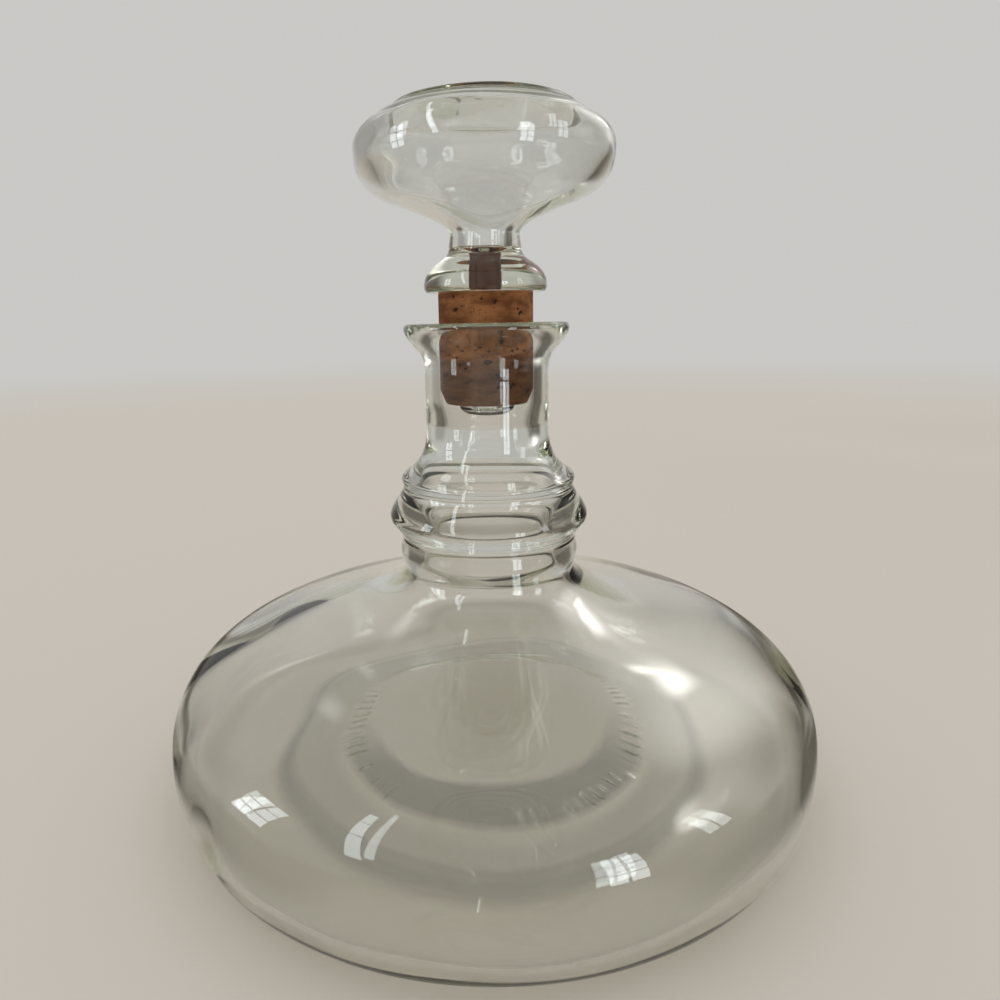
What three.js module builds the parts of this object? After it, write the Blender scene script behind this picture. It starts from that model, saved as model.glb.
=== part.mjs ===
// Squat round glass decanter with a ringed collar, a flared lip and a hollow glass stopper
// whose shank carries a bored cork. Millimetres, +Z up, origin under the middle of the base.
import * as THREE from 'three';

// Straight sides in one turn
const bottleSides = 40;
const stopperSides = 36;

// Straight lines along each curve of an outline
const curveLines = 5;
const heelLines = 6;
const shoulderLines = 10;
const ringLines = 18;

// Gap kept between pieces that touch
const clearance = 0.3;

// Body
const bodyRadius = 92.8;
const widestHeight = 18.3;
const shoulderHeight = 54.5;
const shoulderPastNeck = 13.2;
const shoulderSlope = THREE.MathUtils.degToRad(25.4);
const bodyWall = 3.6;

// Base: inwards from the heel, a flat ring to stand on, a slight hollow and a recessed panel
const heelWidth = 20.8;
const standWidth = 12;
const hollowWidth = 13.8;
const standHollow = 0.7;
const panelStep = 3.2;
const panelRise = 2.4;
const floorThickness = 5.4;

// Collar: rings and grooves, by height above the shoulder and distance out from the neck
const collarFoot = { rise: 6.6, past: 7.3 };
const lowRing = { rise: 11.2, past: 8.6 };
const collarGroove = { rise: 16.2, past: 8 };
const mainRing = { rise: 21.9, past: 11.4 };
const collarWaist = { rise: 29.6, past: 7.4 };
const topRing = { rise: 33, past: 7.7 };
const collarLedge = { rise: 34.9, past: 5.6 };
const collarWall = 6.2;

// Neck and lip
const neckFlareHeight = 13;
const neckStraight = 15.7;
const neckWall = 4.1;
const lowerBoreStep = 0.9;
const lipHeight = 13.2;
const lipPast = 5.9;
const lipEdge = 2.6;
const mouthPast = 5.4;
const mouthDepth = 9.6;

// Cork
const corkRadius = 13.35;
const corkProud = 8;
const corkInNeck = 22.4;
const corkChamferWidth = 1.7;
const corkChamferHeight = 4.2;

// Stopper
const shankRadius = 7.9;
const shankPastCork = 3.6;
const shankRounding = 1.4;
const shankBoreRadius = 3.5;
const boreThroatHeight = 3;
const flangePastCork = 3.95;
const flangeHeight = 11.4;
const flangeEdge = 1.2;
const stemRadius = 9.6;
const stemRidge = 0.6;
const stemHeight = 4;
const stemBoreRadius = 6;
const knobRadius = 35.3;
const knobUnderHeight = 21.3;
const knobUnderRim = { inset: 7.8, drop: 11.6 };
const knobOverHeight = 9;
const knobWall = 3.4;
const capInset = 10;
const capEdge = 0.8;
const capStep = 1.3;
const capThickness = 4;

// How far each curve leans out of its start and into its end, across and up
const heelPulls = { start: [14, 0], end: [0, -17.4] };
const shoulderPulls = { start: [0, 25], endLength: 38 };
const filletPulls = { start: [-3.4, 1.6], end: [0, -3] };
const neckFlarePulls = { start: [-4.4, 3.2], end: [0, -6] };
const lipPulls = { start: [0, 7], end: [-1.2, -5.3] };
const mouthPulls = { start: [-2.6, -3.2], end: [0, 3] };
const collarBorePulls = { start: [0, -9], end: [0, 13] };
const flangePulls = { start: [0, 4.9], end: [0.9, -3] };
const knobUnderPulls = { start: [0, 3.4], end: [-9, -3.4] };
const knobSidePulls = { start: [5.2, 2], end: [0, -6.6] };
const knobOverPulls = { start: [0, 4.6], end: [4, -1.8] };
const domePulls = { start: [5.5, -0.4], end: [0, 4] };
const funnelPulls = { start: [0, -12], end: [0, 9] };

// Sizes that follow from those above
const standRadius = bodyRadius - heelWidth;
const hollowRadius = standRadius - standWidth;
const stepRadius = hollowRadius - hollowWidth;
const panelRadius = stepRadius - panelStep;
const floorHeight = panelRise + floorThickness;
const boreRadius = corkRadius + clearance;
const lowerBoreRadius = boreRadius - lowerBoreStep;
const neckRadius = boreRadius + neckWall;
const lipRadius = neckRadius + lipPast;
const neckStart = shoulderHeight + collarLedge.rise + neckFlareHeight;
const neckTop = neckStart + neckStraight;
const lipTop = neckTop + lipHeight;
const corkTop = lipTop + corkProud;
const corkBottom = lipTop - corkInNeck;
const corkBoreRadius = shankRadius + clearance;
const shankEnd = corkBottom - shankPastCork;
const flangeRadius = corkRadius + flangePastCork;
const flangeBottom = corkTop + clearance;
const flangeTop = flangeBottom + flangeHeight;
const stemTop = flangeTop + stemHeight;
const knobWidest = stemTop + knobUnderHeight;
const knobUnderRadius = knobRadius - knobUnderRim.inset;
const capRadius = knobRadius - capInset;
const capBottom = knobWidest + knobOverHeight;
const capTop = capBottom + capStep;
const ceiling = capTop - capThickness;

const clearGlass = new THREE.MeshStandardMaterial({ color: 0xdfe3dc, roughness: 0.05, metalness: 0 });
const naturalCork = new THREE.MeshStandardMaterial({ color: 0x9a6440, roughness: 0.9, metalness: 0 });

const at = (radius, height) => new THREE.Vector2(radius, height);
const collarPoint = (place) => at(neckRadius + place.past, shoulderHeight + place.rise);

// A curve from one point to another, with its pulls measured from its two ends
function bend(start, end, pulls) {
  const startPull = start.clone().add(at(...pulls.start));
  const endPull = end.clone().add(at(...pulls.end));
  return new THREE.CubicBezierCurve(start, startPull, endPull, end);
}

// Points along a curve, moved to its left by a wall's thickness
function insideOf(curve, wall, lines) {
  const points = [];
  for (let i = 0; i <= lines; i += 1) {
    const tangent = curve.getTangent(i / lines);
    const left = at(-tangent.y, tangent.x).multiplyScalar(wall);
    points.push(curve.getPoint(i / lines).add(left));
  }
  return points;
}

// A piece turned about +Z, from an outline of radius and height
function turned(name, outline, sides, material) {
  const geometry = new THREE.LatheGeometry(outline, sides);
  geometry.rotateX(Math.PI / 2);
  const mesh = new THREE.Mesh(geometry, material);
  mesh.name = name;
  return mesh;
}

const widest = at(bodyRadius, widestHeight);
const shoulderTop = at(neckRadius + shoulderPastNeck, shoulderHeight);
const shoulderRun = shoulderPulls.endLength * Math.cos(shoulderSlope);
const shoulderFall = shoulderPulls.endLength * Math.sin(shoulderSlope);
const heelCurve = bend(at(standRadius, 0), widest, heelPulls);
const shoulderCurve = bend(widest, shoulderTop, {
  start: shoulderPulls.start,
  end: [shoulderRun, -shoulderFall],
});

function baseOutside() {
  return [
    at(0, panelRise),
    at(panelRadius, panelRise),
    at(stepRadius, standHollow),
    at(hollowRadius, 0),
  ];
}

function collarOutside() {
  const fillet = bend(shoulderTop, collarPoint(collarFoot), filletPulls);
  const places = [collarFoot, lowRing, collarGroove, mainRing, collarWaist, topRing, collarLedge];
  const rings = new THREE.SplineCurve(places.map(collarPoint));
  return [...fillet.getPoints(curveLines).slice(1, -1), ...rings.getPoints(ringLines)];
}

function neckOutside() {
  const flare = bend(collarPoint(collarLedge), at(neckRadius, neckStart), neckFlarePulls);
  const lip = bend(at(neckRadius, neckTop), at(lipRadius, lipTop - lipEdge / 2), lipPulls);
  return [
    ...flare.getPoints(curveLines).slice(1),
    ...lip.getPoints(curveLines),
    at(lipRadius - lipEdge / 4, lipTop),
  ];
}

// From the lip's inner edge, down past the cork to the lowest ring
function neckInside() {
  const mouth = bend(at(boreRadius + mouthPast, lipTop), at(boreRadius, lipTop - mouthDepth), mouthPulls);
  const innerRing = at(neckRadius + mainRing.past - collarWall, shoulderHeight + mainRing.rise);
  const collarBore = bend(at(lowerBoreRadius, neckStart), innerRing, collarBorePulls);
  return [
    ...mouth.getPoints(curveLines),
    at(boreRadius, corkBottom - clearance),
    ...collarBore.getPoints(curveLines),
    at(neckRadius + collarGroove.past - collarWall, shoulderHeight + collarGroove.rise),
    at(neckRadius + lowRing.past - collarWall, shoulderHeight + collarFoot.rise),
  ];
}

function floorInside() {
  return [
    at(stepRadius, floorHeight - panelRise / 2),
    at(panelRadius, floorHeight),
    at(0, floorHeight),
  ];
}

function glassBottle() {
  const outline = [
    ...baseOutside(),
    ...heelCurve.getPoints(heelLines),
    ...shoulderCurve.getPoints(shoulderLines).slice(1),
    ...collarOutside(),
    ...neckOutside(),
    ...neckInside(),
    ...insideOf(shoulderCurve, bodyWall, shoulderLines).reverse(),
    ...insideOf(heelCurve, bodyWall, heelLines).reverse().slice(1),
    ...floorInside(),
  ];
  return turned('glass_bottle', outline, bottleSides, clearGlass);
}

function corkSleeve() {
  const outline = [
    at(corkBoreRadius, corkBottom),
    at(corkRadius - corkChamferWidth, corkBottom),
    at(corkRadius, corkBottom + corkChamferHeight),
    at(corkRadius, corkTop),
    at(corkBoreRadius, corkTop),
    at(corkBoreRadius, corkBottom),
  ];
  return turned('cork_sleeve', outline, stopperSides, naturalCork);
}

// The hollow, from the middle of its ceiling down to the bore's open end
function stopperInside() {
  const hollowSide = at(knobRadius - knobWall, knobWidest);
  const dome = bend(at(capRadius - capEdge, ceiling), hollowSide, domePulls);
  const funnel = bend(hollowSide, at(stemBoreRadius, stemTop), funnelPulls);
  return [
    at(0, ceiling),
    ...dome.getPoints(curveLines),
    ...funnel.getPoints(curveLines).slice(1),
    at(stemBoreRadius, flangeTop),
    at(shankBoreRadius, flangeTop - boreThroatHeight),
    at(shankBoreRadius, shankEnd),
  ];
}

function stopperOutside() {
  const flangeRim = at(flangeRadius, flangeBottom + flangeEdge);
  const flange = bend(flangeRim, at(stemRadius + stemRidge, flangeTop), flangePulls);
  const knobSide = at(knobRadius, knobWidest);
  const underRim = at(knobUnderRadius, knobWidest - knobUnderRim.drop);
  const under = bend(at(stemRadius, stemTop), underRim, knobUnderPulls);
  const side = bend(underRim, knobSide, knobSidePulls);
  const over = bend(knobSide, at(capRadius + capEdge, capBottom), knobOverPulls);
  return [
    at(shankRadius - shankRounding, shankEnd),
    at(shankRadius, shankEnd + shankRounding),
    at(shankRadius, flangeBottom),
    at(flangeRadius - flangeEdge / 2, flangeBottom),
    ...flange.getPoints(curveLines),
    ...under.getPoints(curveLines),
    ...side.getPoints(curveLines).slice(1),
    ...over.getPoints(curveLines).slice(1),
    at(capRadius, capTop),
    at(0, capTop),
  ];
}

function glassStopper() {
  const outline = [...stopperInside(), ...stopperOutside()];
  return turned('glass_stopper', outline, stopperSides, clearGlass);
}

const stopper = new THREE.Group();
stopper.add(glassStopper(), corkSleeve());

const decanter = new THREE.Group();
decanter.add(glassBottle(), stopper);

export default decanter;
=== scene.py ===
"""Clear glass decanter: a squat bottle with a ringed collar, and a hollow stopper seated on a cork.

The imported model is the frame. Each of its three faceted pieces is replaced by a fine surface turned about
the same axis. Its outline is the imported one, with small changes at the flange, in the stopper's bore, inside
the collar, at the underside's step and where the cork is pressed to the glass. Sizes are in millimetres, and
every mesh is written in metres.
"""

from __future__ import annotations

import logging
import math
from collections.abc import Sequence
from dataclasses import astuple, dataclass
from enum import Enum
from functools import reduce

import bpy
import numpy as np
from mathutils import Matrix, Vector

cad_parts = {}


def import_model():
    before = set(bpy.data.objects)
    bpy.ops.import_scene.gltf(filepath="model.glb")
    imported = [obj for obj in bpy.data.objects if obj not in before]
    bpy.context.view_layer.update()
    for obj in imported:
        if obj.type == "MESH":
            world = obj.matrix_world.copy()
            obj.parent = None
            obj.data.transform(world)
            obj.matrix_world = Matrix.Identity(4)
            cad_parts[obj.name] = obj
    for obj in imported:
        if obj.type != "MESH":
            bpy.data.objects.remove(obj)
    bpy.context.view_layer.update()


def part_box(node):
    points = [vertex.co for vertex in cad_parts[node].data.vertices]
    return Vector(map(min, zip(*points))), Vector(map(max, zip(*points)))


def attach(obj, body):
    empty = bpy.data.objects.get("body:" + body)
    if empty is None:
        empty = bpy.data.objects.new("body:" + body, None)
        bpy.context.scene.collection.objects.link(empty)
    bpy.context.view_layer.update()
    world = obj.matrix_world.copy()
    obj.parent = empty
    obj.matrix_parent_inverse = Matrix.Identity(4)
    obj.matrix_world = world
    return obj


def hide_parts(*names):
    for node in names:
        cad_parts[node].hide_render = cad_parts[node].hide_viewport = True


MM = 0.001
FULL_TURN = 2 * math.pi

# Points along a short curve
CURVE_POINTS = 60

# Gap between an outline's points while its corners are rounded
PITCH = 0.1

# How far the rounding looks to either side, in widths of its bell curve
BELL_REACH = 4

# Points over which curvature is averaged
CURVATURE_SPAN = 21

# Least step between points, and the radius up to which a point is on the axis
LEAST_STEP = 1e-9
AXIS_RADIUS = 1e-6

Colour = tuple[float, float, float]
Place = tuple[float, float]
Band = tuple[float, float, float, float]

log = logging.getLogger("decanter")


class Body(Enum):
    """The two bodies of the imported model."""

    DECANTER = "decanter"
    STOPPER = "stopper"


class Slot(Enum):
    """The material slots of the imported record."""

    GLASS = "clear_glass"
    CORK = "cork"


class Node(Enum):
    """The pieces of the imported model."""

    BOTTLE = "glass_bottle"
    STOPPER = "glass_stopper"
    CORK = "cork_sleeve"


@dataclass(frozen=True)
class Frame:
    """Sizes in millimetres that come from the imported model's own boxes."""

    body_radius: float
    lip_top: float
    cork_radius: float
    cork_bottom: float
    cork_top: float
    shank_end: float
    knob_radius: float
    cap_top: float

    @classmethod
    def measured(cls) -> Frame:
        """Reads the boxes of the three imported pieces.

        Returns:
            The frame's sizes.
        """
        bottle_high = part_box(Node.BOTTLE.value)[1] / MM
        cork_low, cork_high = (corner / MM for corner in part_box(Node.CORK.value))
        stopper_low, stopper_high = (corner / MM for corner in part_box(Node.STOPPER.value))
        return cls(
            body_radius=bottle_high.x,
            lip_top=bottle_high.z,
            cork_radius=cork_high.x,
            cork_bottom=cork_low.z,
            cork_top=cork_high.z,
            shank_end=stopper_low.z,
            knob_radius=stopper_high.x,
            cap_top=stopper_high.z,
        )


@dataclass(frozen=True)
class Pulls:
    """How far a curve leans out of its start and into its end, across and up."""

    start: Place
    end: Place


class Pen:
    """Draws an outline of radius and height, with the depth of the ripples at each point."""

    def __init__(self, start: Place, ripple: float) -> None:
        """Puts the pen down at start, with ripples of that depth from here on."""
        self.ripple = ripple
        self.runs = [self._with_ripple(np.array([start], float))]

    def _with_ripple(self, points: np.ndarray) -> np.ndarray:
        """Adds the ripple's depth to points as a third column."""
        return np.column_stack([points, np.full(len(points), self.ripple)])

    def follow(self, points: np.ndarray) -> None:
        """Goes through points in order."""
        self.runs.append(self._with_ripple(points))

    def to(self, *places: Place) -> None:
        """Goes in straight lines to each place."""
        self.follow(np.array(places, float))

    def bend(self, end: Place, pulls: Pulls) -> None:
        """Goes to end along a cubic curve that leans as its pulls say."""
        self.follow(bend(tuple(self.runs[-1][-1, :2]), end, pulls, CURVE_POINTS))

    def outline(self) -> np.ndarray:
        """Gives every point drawn so far, as rows of radius, height and ripple."""
        return np.concatenate(self.runs)


def bend(start: Place, end: Place, pulls: Pulls, count: int) -> np.ndarray:
    """Works out a cubic Bezier curve.

    The point at t is the mean of the two ends and the two pulled points, weighted by
    (1-t)^3, 3t(1-t)^2, 3t^2(1-t) and t^3.

    Args:
        start: Radius and height of its first point.
        end: Radius and height of its last point.
        pulls: The leans at its two ends.
        count: How many points to give.

    Returns:
        An array of radius and height.
    """
    t = np.linspace(0, 1, count)[:, None]
    first, last = np.array(start, float), np.array(end, float)
    second, third = first + np.array(pulls.start), last + np.array(pulls.end)
    return (1 - t) ** 3 * first + 3 * t * (1 - t) ** 2 * second + 3 * t**2 * (1 - t) * third + t**3 * last


def through(places: Sequence[Place], count: int) -> np.ndarray:
    """Works out a smooth curve that passes through every place.

    Between two places the curve is a cubic whose slope at each place is half the step from the place
    before it to the place after it.

    Args:
        places: Radius and height of each place.
        count: How many points to give.

    Returns:
        An array of radius and height.
    """
    known = np.array(places, float)
    padded = np.concatenate([known[:1], known, known[-1:]])
    t = np.linspace(0, len(known) - 1, count)
    span = np.minimum(t.astype(int), len(known) - 2)
    part = (t - span)[:, None]
    before, here, there, after = (padded[span + step] for step in range(4))
    slope_here, slope_there = (there - before) / 2, (after - here) / 2
    return (
        (2 * here - 2 * there + slope_here + slope_there) * part**3
        + (3 * there - 3 * here - 2 * slope_here - slope_there) * part**2
        + slope_here * part
        + here
    )


def directions(curve: np.ndarray) -> np.ndarray:
    """Gives a curve's direction at each of its points, with a length of 1."""
    slope = np.gradient(curve, axis=0)
    return slope / np.linalg.norm(slope, axis=1)[:, None]


def beside(curve: np.ndarray, wall: float) -> np.ndarray:
    """Moves a curve to its left by a wall's thickness, square to its own direction."""
    slope = directions(curve)
    return curve + wall * np.column_stack([-slope[:, 1], slope[:, 0]])


def smoothstep(low: float, high: float, values: np.ndarray) -> np.ndarray:
    """Goes from 0 at low to 1 at high with no corner."""
    t = np.clip((values - low) / (high - low), 0, 1)
    return t * t * (3 - 2 * t)


def hump(low: float, high: float, level: float, end: float, values: np.ndarray) -> np.ndarray:
    """Rises smoothly from 0 at low to 1 at high, and falls from 1 at level to 0 at end."""
    return smoothstep(low, high, values) * smoothstep(end, level, values)


def fire_polished(outline: np.ndarray, rounding: float, closed: bool) -> np.ndarray:
    """Rounds every corner of an outline, as heat does.

    The outline is set out evenly along its length, and each point becomes the mean of its neighbours,
    weighted by a bell curve of the given width. Past an end on the axis it goes on as its own mirror
    image, and a closed outline goes on round itself.

    Args:
        outline: Rows of radius, height and ripple.
        rounding: Width of the bell curve.
        closed: Whether its last point meets its first.

    Returns:
        Rows of radius, height and ripple, evenly spaced.
    """
    length = np.concatenate([[0], np.cumsum(np.hypot(*np.diff(outline[:, :2], axis=0).T))])
    even = np.arange(0, length[-1], PITCH)
    points = np.column_stack([np.interp(even, length, column) for column in outline.T])
    reach = int(BELL_REACH * rounding / PITCH)
    if closed:
        padded = np.concatenate([points[-reach:], points, points[:reach]])
    else:
        mirror = np.array([-1, 1, 1])
        padded = np.concatenate([points[reach:0:-1] * mirror, points, points[-2 : -reach - 2 : -1] * mirror])
    bell = np.exp(-0.5 * (np.arange(-reach, reach + 1) * PITCH / rounding) ** 2)
    bell /= bell.sum()
    smooth = np.column_stack([np.convolve(column, bell, "valid") for column in padded.T])
    if not closed:
        smooth[[0, -1], 0] = 0
    return smooth


def spread(outline: np.ndarray, count: int, widest: float, closed: bool) -> np.ndarray:
    """Picks points along an even outline, closer together where it bends more.

    The density of points is one over widest plus the curvature, averaged over nearby points. Points are
    taken at equal steps of its sum.

    Args:
        outline: Rows of radius, height and ripple, evenly spaced.
        count: How many points to give.
        widest: Radius of the bend at which points lie twice as close as where it is straight.
        closed: Whether its last point meets its first.

    Returns:
        Rows of radius, height and ripple.
    """
    step = np.hypot(*np.gradient(outline[:, :2], axis=0).T)
    slope = np.unwrap(np.arctan2(*np.gradient(outline[:, :2], axis=0).T[::-1]))
    curvature = np.abs(np.gradient(slope)) / np.maximum(step, LEAST_STEP)
    nearby = np.ones(CURVATURE_SPAN) / CURVATURE_SPAN
    density = np.convolve(1 / widest + curvature, nearby, "same") * step
    total = np.concatenate([[0], np.cumsum(density[1:])])
    wanted = np.linspace(0, total[-1], count, endpoint=not closed)
    return np.column_stack([np.interp(wanted, total, column) for column in outline.T])


@dataclass(frozen=True)
class Ripples:
    """Slow unevenness of pressed and blown glass: a sum of plane waves through space."""

    shortest: float
    longest: float
    seed: int
    waves: int = 14

    def height_at(self, points: np.ndarray) -> np.ndarray:
        """Gives the ripples' height, about 1 at most, at points in space.

        It is the sum of cosines of the distance along random directions, each with its own wavelength, over
        the square root of twice their number.

        Args:
            points: Places in millimetres, in the last axis.

        Returns:
            An array of heights.
        """
        draw = np.random.default_rng(self.seed)
        direction = draw.normal(size=(3, self.waves))
        direction /= np.linalg.norm(direction, axis=0)
        number = FULL_TURN / draw.uniform(self.shortest, self.longest, self.waves)
        start = draw.uniform(0, FULL_TURN, self.waves)
        return np.cos(points @ (direction * number) + start).sum(axis=-1) / math.sqrt(2 * self.waves)


def add_object(name: str, data: bpy.types.ID) -> bpy.types.Object:
    """Makes an object of a mesh, camera or lamp and links it to the scene.

    Args:
        name: The object's name.
        data: What it shows or does.

    Returns:
        The new object, at the origin.
    """
    made = bpy.data.objects.new(name, data)
    bpy.context.scene.collection.objects.link(made)
    return made


def add_layer(mesh: bpy.types.Mesh, name: str, amounts: np.ndarray) -> None:
    """Gives a mesh an attribute with an amount for each vertex."""
    mesh.attributes.new(name, "FLOAT", "POINT").data.foreach_set("value", amounts.astype(np.float32))


@dataclass
class Turned:
    """A surface turned from an outline about the upright axis, then shifted along its own normals."""

    outline: np.ndarray
    sides: int
    closed: bool

    def __post_init__(self) -> None:
        """Sets out the grid of points: one row for each outline point and one column for each side."""
        self.angles = np.arange(self.sides) * FULL_TURN / self.sides
        self.across = np.column_stack([np.cos(self.angles), np.sin(self.angles)])
        self.points = self._turn(self.outline[:, 0], self.outline[:, 1])
        slope = directions(self.outline[:, :2])
        self.normals = self._turn(slope[:, 1], -slope[:, 0])
        self.layers: dict[str, np.ndarray] = {}

    def _turn(self, radial: np.ndarray, upright: np.ndarray) -> np.ndarray:
        """Carries amounts along the outline round the axis.

        Args:
            radial: The amount outwards at each of its points.
            upright: The amount upwards.

        Returns:
            An array of x, y and z for the grid.
        """
        flat = radial[:, None, None] * self.across[None]
        high = np.broadcast_to(upright[:, None, None], (*flat.shape[:2], 1))
        return np.concatenate([flat, high], axis=2)

    def shift(self, amount: np.ndarray) -> None:
        """Moves each point outwards along its normal. Points on the axis stay."""
        amount = np.where(self.outline[:, :1] > AXIS_RADIUS, amount, 0)
        self.points = self.points + self.normals * amount[..., None]

    def paint(self, name: str, amount: np.ndarray) -> None:
        """Keeps an amount for each point, which the mesh carries as an attribute."""
        self.layers[name] = np.broadcast_to(amount, self.points.shape[:2])

    def _faces(self) -> list[list[int]]:
        """Joins neighbours in four-sided faces, with a fan of triangles at each end on the axis.

        Returns:
            The point numbers of each face, anticlockwise from outside.
        """
        rows, sides = len(self.outline), self.sides
        index = np.arange(rows * sides).reshape(rows, sides)
        here = index if self.closed else index[:-1]
        there = np.roll(index, -1, axis=0) if self.closed else index[1:]
        quads = np.stack([here, np.roll(here, -1, axis=1), np.roll(there, -1, axis=1), there], axis=-1)
        if self.closed:
            return quads.reshape(-1, 4).tolist()
        bottom = quads[0][:, [0, 2, 3]]
        bottom[:, 0] = index[0, 0]
        top = quads[-1][:, [0, 1, 2]]
        top[:, 2] = index[-1, 0]
        return bottom.tolist() + quads[1:-1].reshape(-1, 4).tolist() + top.tolist()

    def build(self, name: str) -> bpy.types.Object:
        """Writes the surface to a smooth-shaded mesh in metres, without the points that no face uses.

        Args:
            name: The piece's name.

        Returns:
            The new object.
        """
        places, faces = self.points.reshape(-1, 3) * MM, self._faces()
        used = np.unique(np.concatenate(faces))
        number = np.full(len(places), -1)
        number[used] = np.arange(len(used))
        mesh = bpy.data.meshes.new(name)
        mesh.from_pydata(places[used].tolist(), [], [number[face].tolist() for face in faces])
        mesh.shade_smooth()
        for layer, amount in self.layers.items():
            add_layer(mesh, layer, amount.ravel()[used])
        return add_object(name, mesh)


class Graph:
    """Adds shader nodes to a material or world and joins them."""

    # Numbers of a Mix node's two colours and of its mixed colour
    FIRST, SECOND, MIXED = 6, 7, 2

    def __init__(self, tree: bpy.types.NodeTree) -> None:
        """Takes the node tree and empties it."""
        tree.nodes.clear()
        self.tree = tree

    def add(self, kind: str, values: dict | None = None, **settings: object) -> bpy.types.Node:
        """Adds a node.

        Args:
            kind: The node's type, without the word ShaderNode.
            values: A number, colour or socket for each input, by its name or number.
            settings: The node's own properties.

        Returns:
            The new node.
        """
        made = self.tree.nodes.new("ShaderNode" + kind)
        for name, value in settings.items():
            setattr(made, name, value)
        for name, value in (values or {}).items():
            self._feed(made.inputs[name], value)
        return made

    def _feed(self, target: bpy.types.NodeSocket, value: object) -> None:
        """Joins a socket to an input, or sets the input's own value.

        Args:
            target: The input.
            value: A socket, number, colour or vector.
        """
        if isinstance(value, bpy.types.NodeSocket):
            self.tree.links.new(value, target)
        elif isinstance(value, tuple) and target.type == "RGBA":
            target.default_value = (*value, 1.0)
        else:
            target.default_value = value

    def amount(self, attribute: str) -> bpy.types.NodeSocket:
        """Reads an attribute of the mesh."""
        return self.add("Attribute", attribute_name=attribute).outputs["Fac"]

    def math(self, operation: str, first: object, second: object = 0.0) -> bpy.types.NodeSocket:
        """Works out an operation on one or two numbers."""
        return self.add("Math", {0: first, 1: second}, operation=operation).outputs[0]

    def product(self, *shares: bpy.types.NodeSocket) -> bpy.types.NodeSocket:
        """Multiplies shares together, in order."""
        return reduce(lambda first, second: self.math("MULTIPLY", first, second), shares)

    def blend(self, share: object, first: object, second: object) -> bpy.types.NodeSocket:
        """Mixes two colours, with share of the second."""
        values = {0: share, self.FIRST: first, self.SECOND: second}
        return self.add("Mix", values, data_type="RGBA").outputs[self.MIXED]

    def mix(self, share: object, first: bpy.types.Node, second: bpy.types.Node) -> bpy.types.Node:
        """Mixes two shaders, with share of the second."""
        return self.add("MixShader", {0: share, 1: first.outputs[0], 2: second.outputs[0]})

    def ramp(self, value: bpy.types.NodeSocket, low: float, high: float) -> bpy.types.NodeSocket:
        """Spreads value so that low becomes 0 and high becomes 1."""
        spans = {"Value": value, "From Min": low, "From Max": high}
        return self.add("MapRange", spans, interpolation_type="SMOOTHSTEP").outputs[0]

    def noise(self, place: bpy.types.NodeSocket, scale: float, detail: float) -> bpy.types.NodeSocket:
        """Gives cloudy noise at place."""
        return self.add("TexNoise", {"Vector": place, "Scale": scale, "Detail": detail}).outputs[0]

    def show(self, surface: bpy.types.Node, **others: bpy.types.NodeSocket) -> None:
        """Gives the material its surface and any other part of its look."""
        self.add("OutputMaterial", {"Surface": surface.outputs[0], **others})


def new_material(name: str) -> tuple[bpy.types.Material, Graph]:
    """Starts a material.

    Args:
        name: The material's name.

    Returns:
        The material and its empty graph.
    """
    made = bpy.data.materials.new(name)
    made.use_nodes = True
    return made, Graph(made.node_tree)


@dataclass(frozen=True)
class Patch:
    """A place where painted light changes the glass, given by an attribute of the mesh from 0 to 1."""

    attribute: str
    colour: Colour
    solid: bool


# Painted shade on the bottle's underside: the glass is tinted darker there
UNDERSIDE_SHADE = Patch("painted_underside_shade", (0.25, 0.25, 0.24), solid=False)
# Painted shade and painted reflection: an opaque dark brown lining of the stopper's bore, where the bore looks
# dark and the cork shows brown through the glass
PAINTED_BORE = Patch("painted_bore", (0.075, 0.014, 0.001), solid=True)


@dataclass(frozen=True)
class GlassFinish:
    """Polished clear glass, grey-green where it is thick, that lets lamps light what is behind it."""

    tint: Colour = (0.937, 0.939, 0.93)
    index: float = 1.52
    depth_colour: Colour = (0.55, 0.6, 0.34)
    depth_density: float = 15.0
    lamp_tint: Colour = (0.955, 0.95, 0.94)
    grazed_tint: Colour = (0.4, 0.39, 0.36)
    grazing: Place = (0.35, 0.9)
    # The painted bore's roughness, and the gloss tints of clear glass and of the painted reflection of the
    # cork
    painted_bore_roughness: float = 0.6
    clear_gloss: Colour = (1.0, 1.0, 1.0)
    painted_reflection_tint: Colour = (0.6, 0.25, 0.06)

    def _wall(self, graph: Graph, patch: Patch) -> bpy.types.Node:
        """Makes the clear wall with its patch. A solid patch makes the wall opaque and dull, and tints its
        gloss.

        Args:
            graph: The material's graph.
            patch: Where painted light changes the glass.

        Returns:
            The wall's shader.
        """
        share = graph.amount(patch.attribute)
        wall = {"Base Color": graph.blend(share, self.tint, patch.colour), "IOR": self.index}
        wall |= {"Roughness": 0.0, "Transmission Weight": 1.0}
        if patch.solid:
            wall["Transmission Weight"] = graph.math("SUBTRACT", 1.0, share)
            wall["Roughness"] = graph.math("MULTIPLY", share, self.painted_bore_roughness)
            wall["Specular Tint"] = graph.blend(share, self.clear_gloss, self.painted_reflection_tint)
        return graph.add("BsdfPrincipled", wall)

    def _lamp_glass(self, graph: Graph) -> bpy.types.Node:
        """Makes a plain tint for light on its way to a surface, darker where it grazes the wall."""
        grazed = graph.ramp(graph.add("LayerWeight").outputs["Facing"], *self.grazing)
        return graph.add("BsdfTransparent", {"Color": graph.blend(grazed, self.lamp_tint, self.grazed_tint)})

    def material(self, name: str, patch: Patch) -> bpy.types.Material:
        """Makes the glass: a clear wall with a coloured depth.

        Args:
            name: The material's name.
            patch: Where painted light changes it.

        Returns:
            The new material.
        """
        made, graph = new_material(name)
        ray = graph.add("LightPath").outputs
        to_lamp = graph.math("MAXIMUM", ray["Is Shadow Ray"], ray["Is Diffuse Ray"])
        both = graph.mix(to_lamp, self._wall(graph, patch), self._lamp_glass(graph))
        depth = graph.add("VolumeAbsorption", {"Color": self.depth_colour, "Density": self.depth_density})
        graph.show(both, Volume=depth.outputs[0])
        return made


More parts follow.
